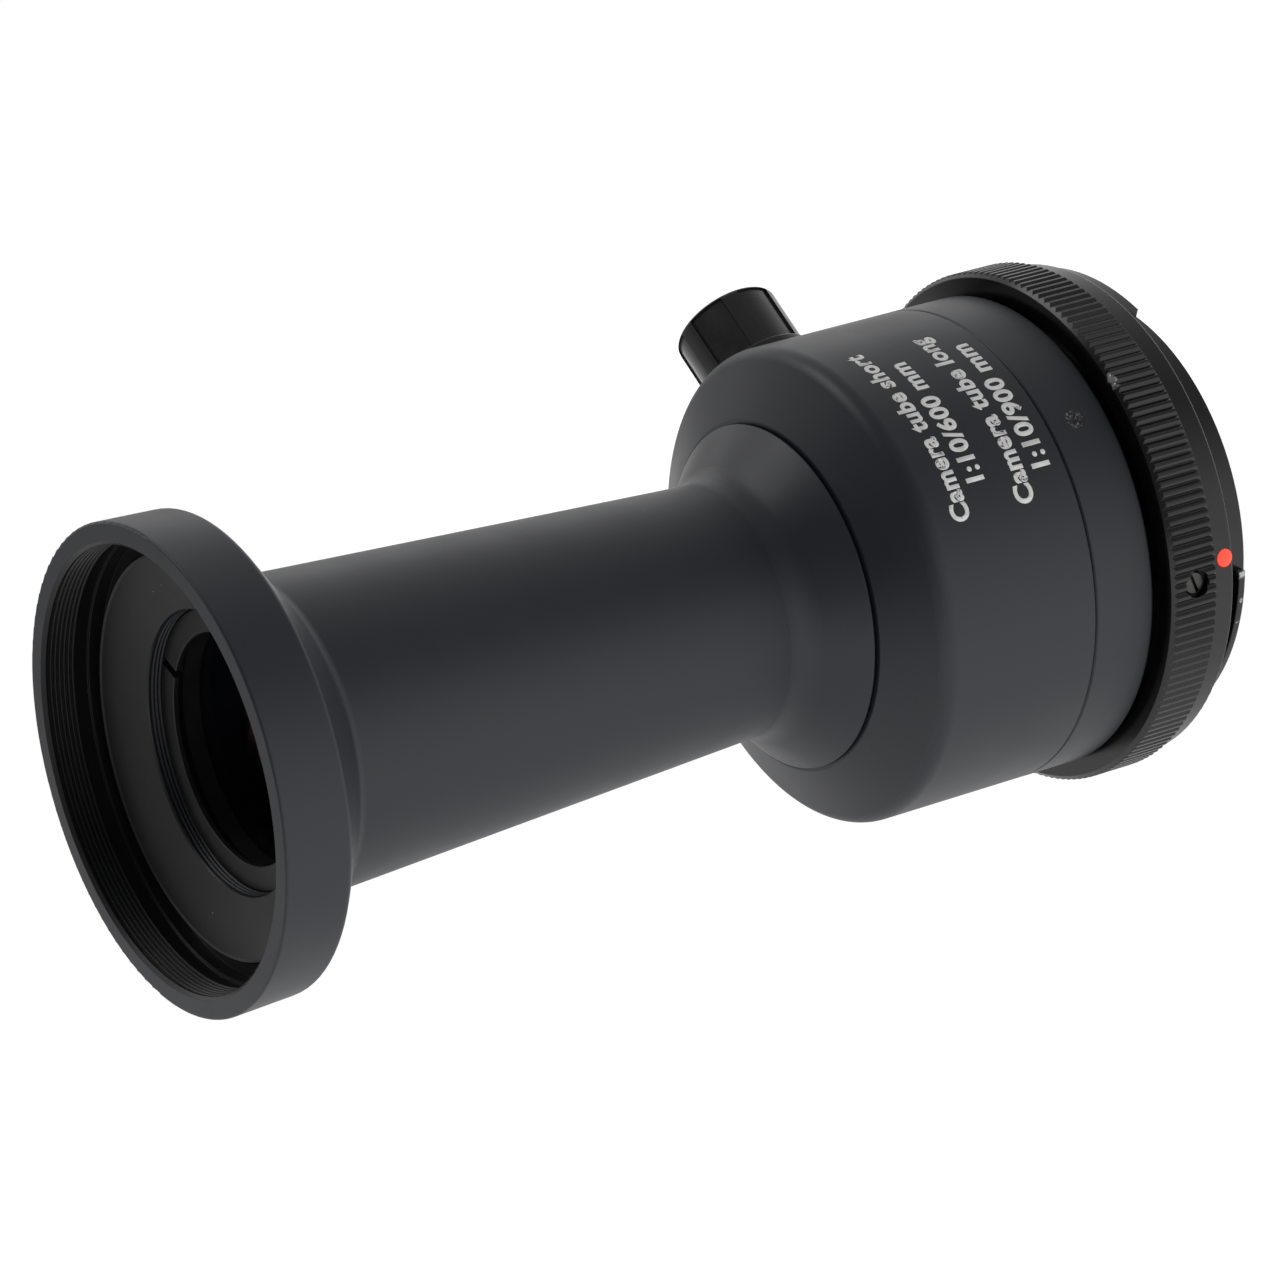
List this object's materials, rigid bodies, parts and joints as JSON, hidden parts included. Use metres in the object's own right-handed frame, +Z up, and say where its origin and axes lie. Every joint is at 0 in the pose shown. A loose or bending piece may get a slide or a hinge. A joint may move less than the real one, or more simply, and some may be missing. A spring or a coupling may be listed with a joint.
{
  "type": "spotting scope camera adapter",
  "caption": "Camera adapter tube for a spotting scope: threaded collar, tapered lens tube, rotating housing with clamp knob, and a knurled T2 camera ring with bayonet.",
  "frame": {"origin": "centre of the collar's front face, on the optical axis", "axes": "+X along the optical axis from the scope to the camera, +Z up, with the part lying level"},
  "size_m": [0.1403, 0.0719, 0.066],
  "materials": {
    "satin_black_anodised": "satin black anodised aluminium, very fine blasted grain, faint blue tint",
    "matte_black_anodised": "dull black anodised aluminium",
    "gloss_black_anodised": "semi-gloss black anodised aluminium, edges slightly worn",
    "coated_glass": "polished optical glass with an anti-reflection coating",
    "washer_plastic": "black low-friction plastic",
    "blackened_steel": "blackened steel, slot edges bright",
    "grey_lacquer": "dull grey locking lacquer, rough",
    "red_plastic": "glossy red enamel",
    "pad_brass": "plain turned brass",
    "black_plastic": "semi-gloss moulded black plastic",
    "white_print": "silver-white printed ink on the housing"
  },
  "bodies": {
    "tube": {"front_tube": "satin_black_anodised", "front_retaining_ring": "matte_black_anodised", "front_crown_lens": "coated_glass", "front_flint_lens": "coated_glass", "front_spacer": "matte_black_anodised", "aperture_stop": "matte_black_anodised", "rear_spacer": "matte_black_anodised", "rear_flint_lens": "coated_glass", "rear_crown_lens": "coated_glass", "tube_baffle": "matte_black_anodised", "front_friction_washer": "washer_plastic", "rear_friction_washer": "washer_plastic", "spigot_nut": "matte_black_anodised"},
    "housing": {"housing": "satin_black_anodised", "end_ring": "satin_black_anodised", "end_ring_screw": "blackened_steel", "seal_lacquer": "grey_lacquer", "t2_thread_ring": "gloss_black_anodised"},
    "camera_ring": {"bayonet_ring": "gloss_black_anodised", "ring_grub_screws": "blackened_steel", "index_dot": "red_plastic"},
    "clamp_pad": {"clamp_pad": "pad_brass"},
    "clamp_knob": {"clamp_screw": "blackened_steel", "clamp_knob": "black_plastic"}
  },
  "joints": [
    {"name": "housing_turn", "type": "hinge", "parent": "tube", "child": "housing", "pos_m": [0.0977, 0, 0], "axis": [1, 0, 0], "continuous": true},
    {"name": "camera_ring_turn", "type": "hinge", "parent": "housing", "child": "camera_ring", "pos_m": [0.1291, 0, 0], "axis": [1, 0, 0], "continuous": true},
    {"name": "clamp_pad_slide", "type": "slide", "parent": "housing", "child": "clamp_pad", "axis": [0, 0.866, 0.5], "range_m": [0, 0.0014]},
    {"name": "clamp_knob_turn", "type": "hinge", "parent": "clamp_pad", "child": "clamp_knob", "pos_m": [0.1046, 0.03092, 0.01785], "axis": [0, 0.866, 0.5], "range_deg": [0, 720]}
  ],
  "couplings": [
    {"joint": "clamp_knob_turn", "follows": "clamp_pad_slide", "rad_per_m": 8976}
  ]
}
